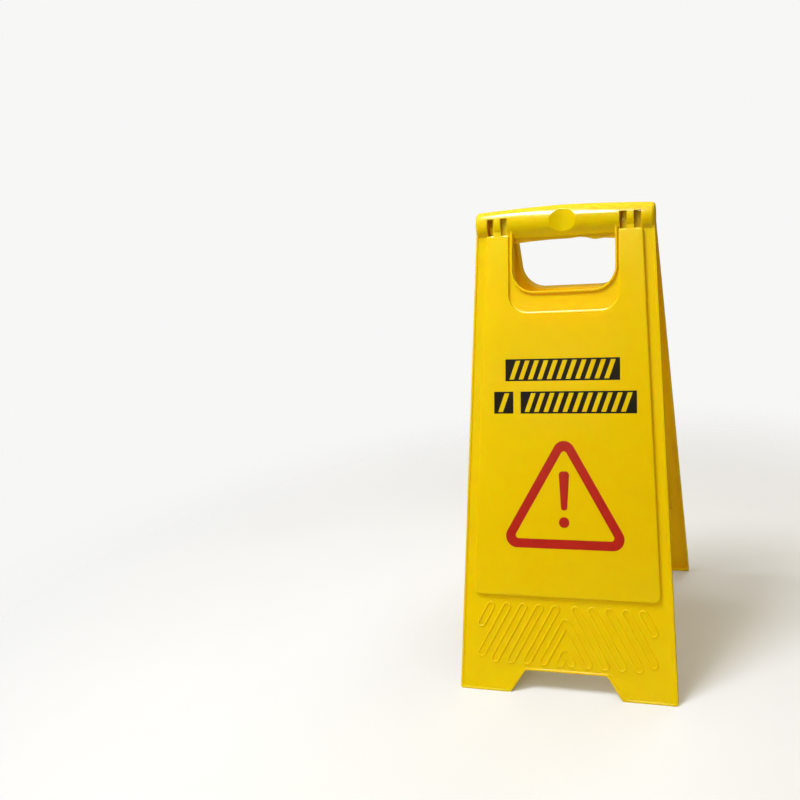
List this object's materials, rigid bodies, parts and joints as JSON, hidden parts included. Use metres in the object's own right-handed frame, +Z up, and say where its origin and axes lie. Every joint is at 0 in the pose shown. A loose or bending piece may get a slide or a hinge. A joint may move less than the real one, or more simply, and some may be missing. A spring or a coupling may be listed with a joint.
{
  "type": "wet floor sign",
  "caption": "Folding A-frame floor sign: two tapered moulded panels hinged under a split carrying bar, with a handle opening, a printed warning triangle, slanted ribs and feet.",
  "frame": {"origin": "centre of the open sign's footprint, on the floor", "axes": "+X along the hinge axis to the right as the front panel is faced, +Y from the front panel to the back panel, +Z up"},
  "size_m": [0.275, 0.3296, 0.5868],
  "materials": {
    "yellow_plastic": "glossy moulded polypropylene with a faint moulding grain",
    "pin_plastic": "moulded polypropylene",
    "black_print": "screen-printed ink film",
    "red_print": "screen-printed ink film"
  },
  "bodies": {
    "front": {"front_panel": "yellow_plastic", "hinge_pin_right": "pin_plastic", "front_stripe_band_upper": "black_print", "front_stripe_band_short": "black_print", "front_stripe_band_long": "black_print", "front_warning_triangle": "red_print", "front_warning_mark_bar": "red_print", "front_warning_mark_dot": "red_print"},
    "back": {"back_panel": "yellow_plastic", "hinge_pin_left": "pin_plastic", "back_stripe_band_upper": "black_print", "back_stripe_band_short": "black_print", "back_stripe_band_long": "black_print", "back_warning_triangle": "red_print", "back_warning_mark_bar": "red_print", "back_warning_mark_dot": "red_print"}
  },
  "joints": [
    {"name": "panel_fold", "type": "hinge", "parent": "front", "child": "back", "pos_m": [0, 0, 0.56105], "axis": [-1, 0, 0], "range_deg": [0, 31]}
  ]
}
